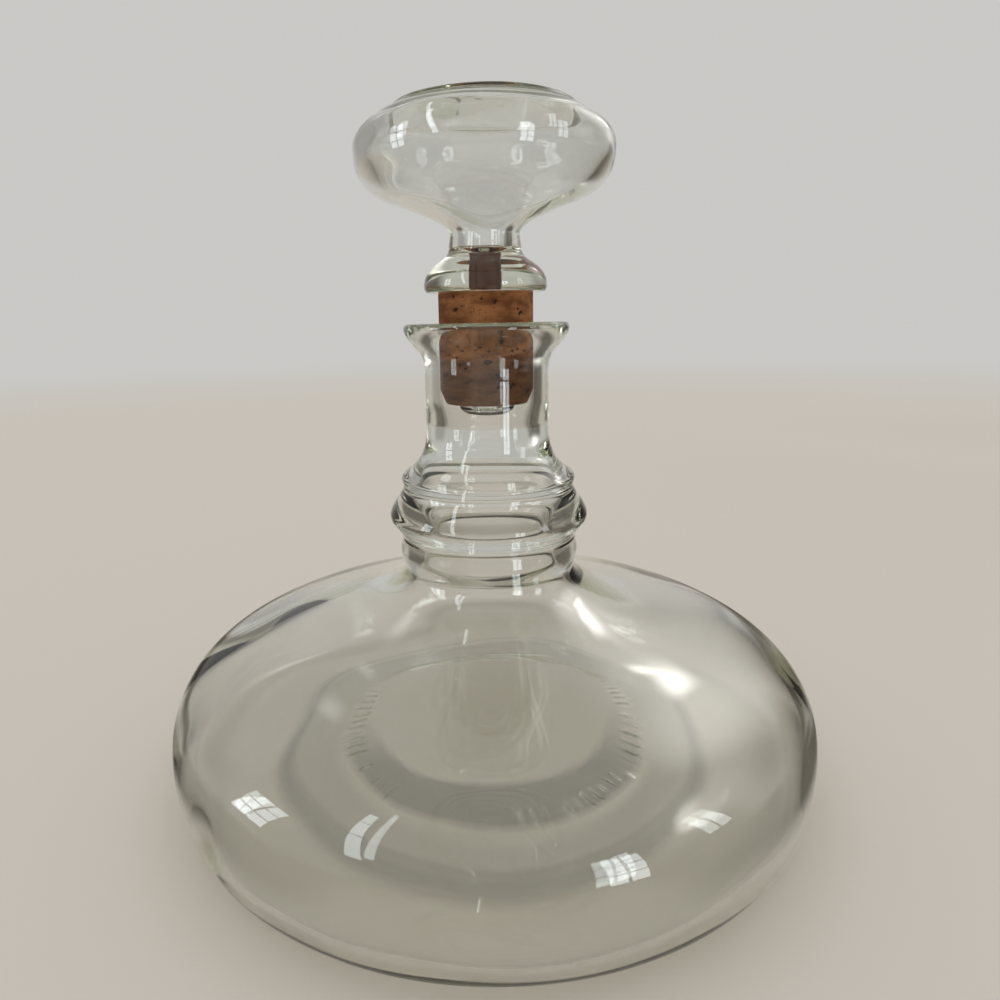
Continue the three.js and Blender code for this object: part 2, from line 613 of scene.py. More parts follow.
@dataclass(frozen=True)
class CorkFinish:
    """Natural cork, red-brown and dull, with dark grain and pores, darker pits and painted shade in the neck.

    Each span gives the two levels of a pattern between which its colour comes in.
    """

    name: str = "natural_cork"
    pale: Colour = (0.36, 0.155, 0.06)
    dark: Colour = (0.15, 0.053, 0.017)
    pit: Colour = (0.035, 0.012, 0.005)
    # Painted shade on the cork inside the neck: its colour and its greatest share
    neck_shade: Colour = (0.03, 0.013, 0.006)
    neck_shade_share: float = 0.5
    flatness: float = 2.6
    cloud_scale: float = 120.0
    cloud_detail: float = 5.0
    cloud_span: Place = (0.35, 0.68)
    grain_scale: float = 260.0
    grain_detail: float = 6.0
    grain_span: Place = (0.6, 0.8)
    pore_scale: float = 900.0
    pore_span: Place = (0.28, 0.1)
    fray_scale: float = 1100.0
    fray_detail: float = 3.0
    fray_span: Place = (0.3, 0.6)
    pit_span: Place = (0.03, 0.22)
    bump_strength: float = 0.35
    bump_depth: float = 0.0004
    roughness: float = 0.82
    specular: float = 0.15
    PIT_ATTRIBUTE = "pit_depth"
    NECK_SHADE_ATTRIBUTE = "neck_shade"

    def material(self) -> bpy.types.Material:
        """Makes the cork from clouds of two browns, flattened grain, fine pores, frayed pits and painted
        shade.

        Returns:
            The new material.
        """
        made, graph = new_material(self.name)
        place = graph.add("TexCoord").outputs["Object"]
        layered = graph.add("Mapping", {"Vector": place, "Scale": (1.0, 1.0, self.flatness)}).outputs[0]
        clouds = graph.noise(layered, self.cloud_scale, self.cloud_detail)
        grain = graph.noise(layered, self.grain_scale, self.grain_detail)
        pores = graph.add("TexVoronoi", {"Vector": place, "Scale": self.pore_scale}).outputs["Distance"]
        brown = graph.blend(graph.ramp(clouds, *self.cloud_span), self.dark, self.pale)
        grained = graph.blend(graph.ramp(grain, *self.grain_span), brown, self.dark)
        speckled = graph.blend(graph.ramp(pores, *self.pore_span), grained, self.dark)
        fray = graph.ramp(graph.noise(place, self.fray_scale, self.fray_detail), *self.fray_span)
        frayed = graph.product(graph.amount(self.PIT_ATTRIBUTE), fray)
        pitted = graph.blend(graph.ramp(frayed, *self.pit_span), speckled, self.pit)
        # Painted shade, deeper in the neck
        neck_shade = graph.math("MULTIPLY", graph.amount(self.NECK_SHADE_ATTRIBUTE), self.neck_shade_share)
        bump = {"Height": grain, "Strength": self.bump_strength, "Distance": self.bump_depth}
        surface = {"Base Color": graph.blend(neck_shade, pitted, self.neck_shade), "Roughness": self.roughness}
        surface |= {"Normal": graph.add("Bump", bump).outputs[0], "Specular IOR Level": self.specular}
        graph.show(graph.add("BsdfPrincipled", surface))
        return made


@dataclass
class BottleSizes:
    """Sizes of the glass bottle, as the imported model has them."""

    frame: Frame
    clearance: float = 0.3
    widest_height: float = 18.3
    shoulder_height: float = 54.5
    shoulder_past_neck: float = 13.2
    shoulder_slope: float = math.radians(25.4)
    body_wall: float = 3.6
    heel_width: float = 20.8
    stand_width: float = 12.0
    hollow_width: float = 13.8
    stand_hollow: float = 0.7
    panel_step: float = 3.2
    panel_rise: float = 2.4
    floor_thickness: float = 5.4
    collar_wall: float = 6.2
    neck_wall: float = 4.1
    neck_flare_height: float = 13.0
    neck_straight: float = 15.7
    lower_bore_step: float = 0.9
    lip_past: float = 5.9
    lip_edge: float = 2.6
    mouth_past: float = 5.4
    mouth_depth: float = 9.6

    def __post_init__(self) -> None:
        """Works out the sizes that follow from the others."""
        self.stand_radius = self.frame.body_radius - self.heel_width
        self.hollow_radius = self.stand_radius - self.stand_width
        self.step_radius = self.hollow_radius - self.hollow_width
        self.panel_radius = self.step_radius - self.panel_step
        self.floor_height = self.panel_rise + self.floor_thickness
        self.bore_radius = self.frame.cork_radius + self.clearance
        self.neck_radius = self.bore_radius + self.neck_wall
        self.lip_radius = self.neck_radius + self.lip_past


@dataclass(frozen=True)
class Collar:
    """The collar's places from its foot up, as rise above the shoulder and distance out from the neck."""

    foot: Place = (6.6, 7.3)
    low_ring: Place = (11.2, 8.6)
    groove: Place = (16.2, 8.0)
    main_ring: Place = (21.9, 11.4)
    waist: Place = (29.6, 7.4)
    top_ring: Place = (33.0, 7.7)
    ledge: Place = (34.9, 5.6)


@dataclass
class GlassBottle:
    """The bottle: squat body on a ringed base, three-ringed collar, neck and flared lip."""

    frame: Frame
    finish: bpy.types.Material
    collar: Collar = Collar()
    heel_points: int = 120
    shoulder_points: int = 160
    ring_points: int = 240
    sides: int = 240
    rows: int = 410
    widest_gap: float = 6.0
    rounding: float = 0.55
    inner_rounding: float = 2.2
    outer_ripple: float = 0.05
    inner_ripple: float = 0.45
    neck_ripple: float = 0.02
    bead_count: int = 84
    bead_gaps: int = 12
    bead_height: float = 1.0
    bead_widths: Place = (0.4, 0.9)
    bead_lifts: Place = (0.5, 1.0)
    bead_band: Place = (39.5, 46.5)
    bead_reach: Place = (math.radians(95), math.radians(125))
    bead_seed: int = 3
    # Painted shade on the underside: a crescent at the front, and bands in the hollow and on the rim
    crescent_inside: float = 31.0
    crescent_outside: float = 47.0
    crescent_edge: float = 1.2
    crescent_narrowing: float = 8.0
    crescent_reach: Place = (math.radians(55), math.radians(100))
    shade_centre_shift: float = 3.0
    hollow_shade: float = 0.45
    hollow_band: Band = (43.0, 50.0, 59.0, 65.0)
    rim_shade: float = 0.58
    rim_band: Band = (57.0, 61.5, 61.5, 66.0)
    collar_bore: float = 3.8
    step_spread: float = 3.5
    shoulder_lean: float = 38.0
    widest_pull: Place = (0, 25)
    step_pulls: Pulls = Pulls((5, 0), (-5, 0))
    heel_pulls: Pulls = Pulls((14, 0), (0, -17.4))
    fillet_pulls: Pulls = Pulls((-3.4, 1.6), (0, -3))
    flare_pulls: Pulls = Pulls((-4.4, 3.2), (0, -6))
    lip_pulls: Pulls = Pulls((0, 7), (-1.2, -5.3))
    mouth_pulls: Pulls = Pulls((-2.6, -3.2), (0, 3))
    collar_bore_pulls: Pulls = Pulls((0, -9), (0, 13))
    ripples: Ripples = Ripples(shortest=26, longest=75, seed=11)

    def __post_init__(self) -> None:
        """Works out the sizes and the three curves that the wall follows."""
        self.sizes = sizes = BottleSizes(self.frame)
        self.neck_start = sizes.shoulder_height + self.collar.ledge[0] + sizes.neck_flare_height
        widest = (self.frame.body_radius, sizes.widest_height)
        top = (sizes.neck_radius + sizes.shoulder_past_neck, sizes.shoulder_height)
        run = self.shoulder_lean * math.cos(sizes.shoulder_slope)
        fall = self.shoulder_lean * math.sin(sizes.shoulder_slope)
        self.heel = bend((sizes.stand_radius, 0), widest, self.heel_pulls, self.heel_points)
        self.shoulder = bend(widest, top, Pulls(self.widest_pull, (run, -fall)), self.shoulder_points)
        self.fillet = bend(top, self._on_collar(*self.collar.foot), self.fillet_pulls, CURVE_POINTS)

    def _on_collar(self, rise: float, past: float) -> Place:
        """Gives a collar place as radius and height."""
        return (self.sizes.neck_radius + past, self.sizes.shoulder_height + rise)

    def _draw_outside(self, pen: Pen) -> None:
        """Draws the underside, heel, shoulder, collar, neck and lip.

        Args:
            pen: The pen, in the middle of the underside.
        """
        sizes, lip_top = self.sizes, self.frame.lip_top
        pen.to((sizes.panel_radius - self.step_spread, sizes.panel_rise))
        pen.bend((sizes.step_radius + self.step_spread, sizes.stand_hollow), self.step_pulls)
        pen.ripple = self.outer_ripple
        pen.to((sizes.hollow_radius, 0))
        for curve in (self.heel, self.shoulder, self.fillet):
            pen.follow(curve)
        pen.follow(through([self._on_collar(*place) for place in astuple(self.collar)], self.ring_points))
        pen.bend((sizes.neck_radius, self.neck_start), self.flare_pulls)
        pen.to((sizes.neck_radius, self.neck_start + sizes.neck_straight))
        pen.bend((sizes.lip_radius, lip_top - sizes.lip_edge / 2), self.lip_pulls)
        pen.to((sizes.lip_radius - sizes.lip_edge / 4, lip_top))

    def _draw_inside(self, pen: Pen) -> None:
        """Draws the mouth, bore, collar and body walls and the floor, from the top down.

        Args:
            pen: The pen, at the lip's outer edge.
        """
        sizes, collar, lip_top = self.sizes, self.collar, self.frame.lip_top
        pen.ripple = self.neck_ripple
        pen.to((sizes.bore_radius + sizes.mouth_past, lip_top))
        pen.bend((sizes.bore_radius, lip_top - sizes.mouth_depth), self.mouth_pulls)
        pen.to((sizes.bore_radius, self.frame.cork_bottom - sizes.clearance))
        pen.to((sizes.bore_radius - sizes.lower_bore_step, self.neck_start))
        pen.ripple = self.inner_ripple / 2
        inner_ring = self._on_collar(collar.main_ring[0], collar.main_ring[1] - sizes.collar_wall)
        pen.bend(inner_ring, self.collar_bore_pulls)
        pen.to(*(self._on_collar(rise, self.collar_bore) for rise, _ in (collar.groove, collar.foot)))
        pen.ripple = self.inner_ripple
        for curve in (self.fillet, self.shoulder, self.heel):
            pen.follow(beside(curve, sizes.body_wall)[::-1])
        pen.to((sizes.step_radius + self.step_spread, sizes.floor_height - sizes.panel_rise / 2))
        pen.to((sizes.panel_radius - self.step_spread, sizes.floor_height), (0, sizes.floor_height))

    def _polished(self, outline: np.ndarray) -> np.ndarray:
        """Rounds the outline's corners, and those of its rippled parts much more.

        Args:
            outline: Rows of radius, height and ripple.

        Returns:
            Rows of radius, height and ripple, evenly spaced.
        """
        crisp = fire_polished(outline, self.rounding, False)
        soft = fire_polished(outline, self.inner_rounding, False)
        share = smoothstep(self.outer_ripple, self.inner_ripple / 2, crisp[:, 2:])
        return crisp + (soft - crisp) * share

    def _from_front(self, turned: Turned) -> np.ndarray:
        """Gives each column's angle from the front of the bottle, either way round."""
        return np.abs(np.arctan2(turned.across[:, 0], -turned.across[:, 1]))

    def _underside(self, turned: Turned) -> np.ndarray:
        """Gives 1 for each row below the middle of the floor, and 0 for the others."""
        return turned.outline[:, 1:2] < (self.sizes.panel_rise + self.sizes.floor_height) / 2

    def _beads(self, turned: Turned) -> np.ndarray:
        """Gives the height of the rubbed-down beads round the edge of the underside's panel.

        Each bead has a like share of the turn, with a random width and height, and some are missing. Round
        the base its height is 1 - u^2 squared from side to side. Across the band it rises over the first
        third and falls over the last. The beads fade out towards the back.

        Args:
            turned: The bottle's surface.

        Returns:
            An array of heights for the surface's grid.
        """
        draw = np.random.default_rng(self.bead_seed)
        width = draw.uniform(*self.bead_widths, self.bead_count)
        lift = draw.uniform(*self.bead_lifts, self.bead_count)
        lift[draw.choice(self.bead_count, self.bead_gaps, replace=False)] = 0
        share = turned.angles / FULL_TURN * self.bead_count
        bead = share.astype(int)
        u = np.clip(2 * (share - bead - 0.5) / width[bead], -1, 1)
        low, high = self.bead_band
        third = (high - low) / 3
        band = hump(low, low + third, high - third, high, turned.outline[:, :1])
        band = band * smoothstep(*self.bead_reach[::-1], self._from_front(turned))
        return self.bead_height * self._underside(turned) * band * lift[bead] * (1 - u**2) ** 2

    def _underside_shade_share(self, turned: Turned) -> np.ndarray:
        """Gives the underside's shade: some in its hollow, more on the rim round it, most in a crescent.

        The shade is painted into the glass's colour. The hollow's shade and the rim's are centred a little
        in front of the axis. The crescent lies at the front. Its outer edge is a circle, its inner edge
        moves out with the square of the angle from the front, and it fades towards both ends.

        Args:
            turned: The bottle's surface.

        Returns:
            An array of shares for the surface's grid.
        """
        angle, radius, edge = self._from_front(turned), turned.outline[:, :1], self.crescent_edge
        inside = self.crescent_inside + self.crescent_narrowing * (angle / self.crescent_reach[1]) ** 2
        crescent = smoothstep(inside - edge, inside + edge, radius)
        crescent = crescent * smoothstep(*self.crescent_reach[::-1], angle)
        crescent = crescent * smoothstep(self.crescent_outside, self.crescent_outside - 2 * edge, radius)
        shifted = np.hypot(turned.points[..., 0], turned.points[..., 1] + self.shade_centre_shift)
        hollow = self.hollow_shade * hump(*self.hollow_band, shifted)
        rim = self.rim_shade * hump(*self.rim_band, shifted)
        return np.maximum(crescent, np.maximum(hollow, rim)) * self._underside(turned)

    def build(self) -> bpy.types.Object:
        """Makes the bottle and sets it on its body.

        Returns:
            The finished piece.
        """
        pen = Pen((0, self.sizes.panel_rise), self.inner_ripple / 2)
        self._draw_outside(pen)
        self._draw_inside(pen)
        outline = spread(self._polished(pen.outline()), self.rows, self.widest_gap, False)
        turned = Turned(outline, self.sides, False)
        ripple = self.ripples.height_at(turned.points) * outline[:, 2:]
        # Painted shade on the underside
        turned.paint(UNDERSIDE_SHADE.attribute, self._underside_shade_share(turned))
        turned.shift(ripple + self._beads(turned))
        return finished(turned.build("bottle"), self.finish, Body.DECANTER, Node.BOTTLE)


@dataclass
class GlassStopper:
    """The hollow stopper: flat-topped knob, stem, bell-shaped flange and bored shank."""

    frame: Frame
    finish: bpy.types.Material
    sides: int = 224
    rows: int = 330
    widest_gap: float = 6.0
    rounding: float = 0.3
    outer_ripple: float = 0.07
    inner_ripple: float = 0.3
    bore_ripple: float = 0.04
    ripples: Ripples = Ripples(shortest=14, longest=38, seed=5)
    # The painted shade and painted reflection of the cork that line the bore
    painted_bore_heights: Place = (1.2, 7.8)
    painted_bore_edge: float = 0.3
    painted_bore_wander: float = 0.5
    painted_bore_fading: float = 0.06
    blotches: Ripples = Ripples(shortest=2, longest=6, seed=9)
    clearance: float = 0.3
    shank_radius: float = 7.9
    shank_rounding: float = 1.4
    bore_radius: float = 3.05
    throat_height: float = 3.0
    flange_past_cork: float = 3.95
    flange_height: float = 11.4
    flange_edge: float = 1.2
    stem_radius: float = 9.6
    stem_ridge: float = 0.6
    stem_height: float = 4.0
    stem_bore_radius: float = 6.0
    knob_wall: float = 3.4
    knob_under_inset: float = 7.8
    knob_under_drop: float = 11.6
    knob_over_height: float = 9.0
    cap_inset: float = 10.0
    cap_edge: float = 0.8
    cap_step: float = 1.3
    cap_thickness: float = 4.0
    dome_pulls: Pulls = Pulls((5.5, -0.4), (0, 4))
    funnel_pulls: Pulls = Pulls((0, -12), (0, 9))
    flange_pulls: Pulls = Pulls((0.2, 6.8), (0.3, -3.6))
    under_pulls: Pulls = Pulls((0, 3.4), (-9, -3.4))
    side_pulls: Pulls = Pulls((5.2, 2), (0, -6.6))
    over_pulls: Pulls = Pulls((0, 4.6), (4, -1.8))

    def __post_init__(self) -> None:
        """Works out the heights and radii that follow from the others."""
        self.flange_bottom = self.frame.cork_top + self.clearance
        self.flange_top = self.flange_bottom + self.flange_height
        self.flange_radius = self.frame.cork_radius + self.flange_past_cork
        self.stem_top = self.flange_top + self.stem_height
        self.cap_bottom = self.frame.cap_top - self.cap_step
        self.knob_widest = self.cap_bottom - self.knob_over_height
        self.cap_radius = self.frame.knob_radius - self.cap_inset
        self.ceiling = self.frame.cap_top - self.cap_thickness

    def _draw_inside(self, pen: Pen) -> None:
        """Draws the hollow, down to the bore's open end.

        Args:
            pen: The pen, in the middle of the hollow's ceiling.
        """
        pen.to((self.cap_radius - self.cap_edge, self.ceiling))
        pen.bend((self.frame.knob_radius - self.knob_wall, self.knob_widest), self.dome_pulls)
        pen.bend((self.stem_bore_radius, self.stem_top), self.funnel_pulls)
        pen.ripple = self.bore_ripple
        pen.to(
            (self.stem_bore_radius, self.flange_top),
            (self.bore_radius, self.flange_top - self.throat_height),
            (self.bore_radius, self.frame.shank_end),
        )

    def _draw_outside(self, pen: Pen) -> None:
        """Draws the shank, flange, stem and knob, up to the middle of the cap.

        Args:
            pen: The pen, at the bore's open end.
        """
        pen.ripple = self.outer_ripple
        rim = (self.frame.knob_radius - self.knob_under_inset, self.knob_widest - self.knob_under_drop)
        pen.to(
            (self.shank_radius - self.shank_rounding, self.frame.shank_end),
            (self.shank_radius, self.frame.shank_end + self.shank_rounding),
            (self.shank_radius, self.flange_bottom),
            (self.flange_radius - self.flange_edge / 2, self.flange_bottom),
            (self.flange_radius, self.flange_bottom + self.flange_edge),
        )
        pen.bend((self.stem_radius + self.stem_ridge, self.flange_top), self.flange_pulls)
        pen.to((self.stem_radius, self.stem_top))
        pen.bend(rim, self.under_pulls)
        pen.bend((self.frame.knob_radius, self.knob_widest), self.side_pulls)
        pen.bend((self.cap_radius + self.cap_edge, self.cap_bottom), self.over_pulls)
        pen.to((self.cap_radius, self.frame.cap_top), (0, self.frame.cap_top))

    def _painted_bore(self, turned: Turned) -> np.ndarray:
        """Gives the share of the dark brown lining of the bore, where it passes through the flange.

        It is painted shade and a painted reflection of the cork. It is full between two heights, whose edges
        wander, and blotches thin it a little.

        Args:
            turned: The stopper's surface.

        Returns:
            An array of shares for the surface's grid.
        """
        wander = self.painted_bore_wander * self.ripples.height_at(turned.points)
        rise = turned.points[..., 2] - self.flange_bottom + wander
        low, high = self.painted_bore_heights
        inside = turned.outline[:, :1] < (self.bore_radius + self.stem_bore_radius) / 2
        level = hump(low - self.painted_bore_edge, low + self.painted_bore_edge, high, high + self.painted_bore_edge, rise)
        faded = self.painted_bore_fading * np.abs(self.blotches.height_at(turned.points))
        return inside * level * (1 - np.clip(faded, 0, 1))

    def build(self) -> bpy.types.Object:
        """Makes the stopper and sets it on its body.

        Returns:
            The finished piece.
        """
        pen = Pen((0, self.ceiling), self.inner_ripple)
        self._draw_inside(pen)
        self._draw_outside(pen)
        polished = fire_polished(pen.outline(), self.rounding, False)
        outline = spread(polished, self.rows, self.widest_gap, False)
        turned = Turned(outline, self.sides, False)
        # Painted shade and painted reflection of the cork in the bore
        turned.paint(PAINTED_BORE.attribute, self._painted_bore(turned))
        turned.shift(self.ripples.height_at(turned.points) * outline[:, 2:])
        return finished(turned.build("stopper"), self.finish, Body.STOPPER, Node.STOPPER)


@dataclass
class CorkSleeve:
    """The bored cork on the shank: a plain side with a chamfer at its foot, pitted all over."""

    frame: Frame
    finish: bpy.types.Material
    sides: int = 360
    rows: int = 240
    widest_gap: float = 2.0
    rounding: float = 0.22
    squeeze: float = 0.04
    flange_gap: float = 0.3
    shank_radius: float = 7.9
    chamfer_width: float = 1.7
    chamfer_height: float = 4.2
    pit_count: int = 210
    pit_radius: Place = (0.2, 1.15)
    pit_depth: Place = (0.15, 0.6)
    # Depths below the lip over which painted shade comes in on the cork
    neck_shade_depth: Place = (7.0, 11.0)
    pit_flatness: float = 1.4
    seed: int = 23

    def _outline(self) -> np.ndarray:
        """Draws the sleeve's closed outline from the bottom of its bore.

        The cork is soft, so it is pressed a little way into the glass of the shank and the flange, and the
        glass shows it as wetted cork with no air between.

        Returns:
            Rows of radius, height and ripple.
        """
        bore = self.shank_radius - self.squeeze
        bottom, side = self.frame.cork_bottom, self.frame.cork_radius
        top = self.frame.cork_top + self.flange_gap + self.squeeze
        pen = Pen((bore, bottom), 0)
        pen.to((side - self.chamfer_width, bottom), (side, bottom + self.chamfer_height), (side, top))
        pen.to((bore, top), (bore, bottom))
        return pen.outline()

    def _pits(self, points: np.ndarray) -> np.ndarray:
        """Gives how deep the pits are at each point.

        A pit is a bell curve of the distance to its middle, wider round the cork than up it, and the deepest
        pit at a point counts.

        Args:
            points: The grid of points in millimetres.

        Returns:
            Depth in millimetres for the grid.
        """
        draw = np.random.default_rng(self.seed)
        angle = draw.uniform(0, FULL_TURN, self.pit_count)
        height = draw.uniform(self.frame.cork_bottom, self.frame.cork_top, self.pit_count)
        radius = draw.uniform(0, 1, self.pit_count) ** 2 * np.ptp(self.pit_radius) + self.pit_radius[0]
        depth = draw.uniform(*self.pit_depth, self.pit_count)
        side = self.frame.cork_radius
        middle = np.column_stack([side * np.cos(angle), side * np.sin(angle), height])
        deepest = np.zeros(points.shape[:2])
        for place, size, deep in zip(middle, radius, depth):
            offset = (points - place) / np.array([size, size, size / self.pit_flatness])
            deepest = np.maximum(deepest, deep * np.exp(-(offset**2).sum(axis=-1)))
        return deepest

    def build(self) -> bpy.types.Object:
        """Makes the cork and sets it on its body.

        Returns:
            The finished piece.
        """
        polished = fire_polished(self._outline(), self.rounding, True)
        turned = Turned(spread(polished, self.rows, self.widest_gap, True), self.sides, True)
        pits = self._pits(turned.points)
        turned.shift(-pits)
        turned.paint(CorkFinish.PIT_ATTRIBUTE, pits)
        # Painted shade: the cork darkens with depth below the lip, inside the neck
        depth = self.frame.lip_top - turned.outline[:, 1:2]
        turned.paint(CorkFinish.NECK_SHADE_ATTRIBUTE, smoothstep(*self.neck_shade_depth, depth))
        return finished(turned.build("cork"), self.finish, Body.STOPPER, Node.CORK)


def finished(
    piece: bpy.types.Object, material: bpy.types.Material, body: Body, node: Node
) -> bpy.types.Object:
    """Dresses a piece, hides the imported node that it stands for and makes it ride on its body.

    Args:
        piece: The new object.
        material: Its finish.
        body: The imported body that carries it.
        node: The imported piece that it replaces.

    Returns:
        The same object.
    """
    piece.data.materials.append(material)
    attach(piece, body.value)
    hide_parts(node.value)
    return piece


@dataclass(frozen=True)
class PhotoCamera:
    """The camera at the photograph's place, in millimetres and pixels of a square picture."""

    place: tuple[float, float, float] = (-4.45, -203.2, 131.57)
    pitch: float = math.radians(11.51)
    roll: float = math.radians(1.03)
    focal: float = 702.0
    centre: Place = (472.8, 465.0)
    side: float = 1000.0
    sensor: float = 36.0
    nearest: float = 10.0

    def build(self) -> None:
        """Makes the camera and gives it to the scene."""
        lens = bpy.data.cameras.new("camera")
        lens.sensor_width = self.sensor
        lens.lens = self.focal / self.side * self.sensor
        lens.shift_x = 0.5 - self.centre[0] / self.side
        lens.shift_y = self.centre[1] / self.side - 0.5
        lens.clip_start = self.nearest * MM
        ahead = Vector((0, math.cos(self.pitch), -math.sin(self.pitch)))
        down = Vector((0, -math.sin(self.pitch), -math.cos(self.pitch)))
        level = Vector((1, 0, 0))
        right = level * math.cos(self.roll) + down * math.sin(self.roll)
        up = level * math.sin(self.roll) - down * math.cos(self.roll)
        turn = Matrix((right, up, -ahead)).transposed().to_4x4()
        made = add_object("camera", lens)
        made.matrix_world = Matrix.Translation(Vector(self.place) * MM) @ turn
        bpy.context.scene.camera = made


@dataclass(frozen=True)
class Panel:
    """A glowing upright rectangle round the object, in metres, facing the axis and unseen by the camera.

    The azimuth is 0 towards the camera and grows to the right. The top is shifted across by lean against
    the bottom.
    """

    name: str
    azimuth: float
    distance: float
    width: float
    bottom: float
    top: float
    strength: float
    lean: float = 0.0

    def _mesh(self, across: np.ndarray, up: np.ndarray, faces: np.ndarray) -> bpy.types.Mesh:
        """Makes a mesh of places on the panel.

        Args:
            across: Distances across the panel from its middle.
            up: Distances up from the floor.
            faces: Rows of the numbers of a face's four places.

        Returns:
            The new mesh.
        """
        turn = math.radians(self.azimuth)
        across = across + self.lean * ((up - self.bottom) / (self.top - self.bottom) - 0.5)
        x = math.sin(turn) * self.distance + math.cos(turn) * across
        y = -math.cos(turn) * self.distance + math.sin(turn) * across
        mesh = bpy.data.meshes.new(self.name)
        mesh.from_pydata(np.column_stack([x, y, up]).tolist(), [], faces.tolist())
        return mesh

    def _show(self, mesh: bpy.types.Mesh, colour: Colour, glow: str | None = None) -> None:
        """Puts the panel's mesh in the scene, and makes it glow.

        Args:
            mesh: The panel's mesh.
            colour: The glow's colour.
            glow: The attribute that gives the glow's share, where it isn't even.
        """
        material, graph = new_material(self.name)
        light = graph.add("Emission", {"Color": colour, "Strength": self.strength})
        if glow:
            light = graph.mix(graph.amount(glow), graph.add("BsdfTransparent"), light)
        graph.show(light)
        mesh.materials.append(material)
        made = add_object(self.name, mesh)
        made.visible_camera = False
        made.visible_diffuse = False


@dataclass(frozen=True)
class Window(Panel):
    """A panel of bright panes with bars between them."""

    columns: int = 2
    rows: int = 3
    bar: float = 0.008

    def _edges(self, low: float, high: float, count: int) -> np.ndarray:
        """Splits a length into panes with a bar between each two.

        Args:
            low: Where the first pane starts.
            high: Where the last pane ends.
            count: How many panes there are.

        Returns:
            Rows of each pane's start and end.
        """
        pane = (high - low - self.bar * (count - 1)) / count
        start = low + np.arange(count) * (pane + self.bar)
        return np.column_stack([start, start + pane])

    def build(self, colour: Colour) -> None:
        """Makes the window: each pane's corners are every pairing of its edges across and up.

        Args:
            colour: The daylight's colour.
        """
        across = self._edges(-self.width / 2, self.width / 2, self.columns)
        up = self._edges(self.bottom, self.top, self.rows)
        x = np.repeat(across, self.rows, axis=0)[:, [0, 1, 1, 0]].ravel()
        z = np.tile(up, (self.columns, 1))[:, [0, 0, 1, 1]].ravel()
        self._show(self._mesh(x, z, np.arange(len(x)).reshape(-1, 4)), colour)


@dataclass(frozen=True)
class SoftPanel(Panel):
    """A panel whose glow fades to nothing at its edges."""

    cells: int = 20
    GLOW_ATTRIBUTE = "glow"

    def build(self, colour: Colour) -> None:
        """Makes the panel: the glow is the product of two humps, each 1 - u^2 squared from edge to edge.

        Args:
            colour: The glow's colour.
        """
        u = np.linspace(-1, 1, self.cells + 1)
        across, up = (grid.ravel() for grid in np.meshgrid(u, u))
        middle, half = (self.bottom + self.top) / 2, (self.top - self.bottom) / 2
        index = np.arange(len(across)).reshape(len(u), len(u))
        cells = np.stack([index[:-1, :-1], index[:-1, 1:], index[1:, 1:], index[1:, :-1]], axis=-1)
        mesh = self._mesh(across * self.width / 2, middle + up * half, cells.reshape(-1, 4))
        add_layer(mesh, self.GLOW_ATTRIBUTE, ((1 - across**2) * (1 - up**2)) ** 2)
        self._show(mesh, colour, self.GLOW_ATTRIBUTE)


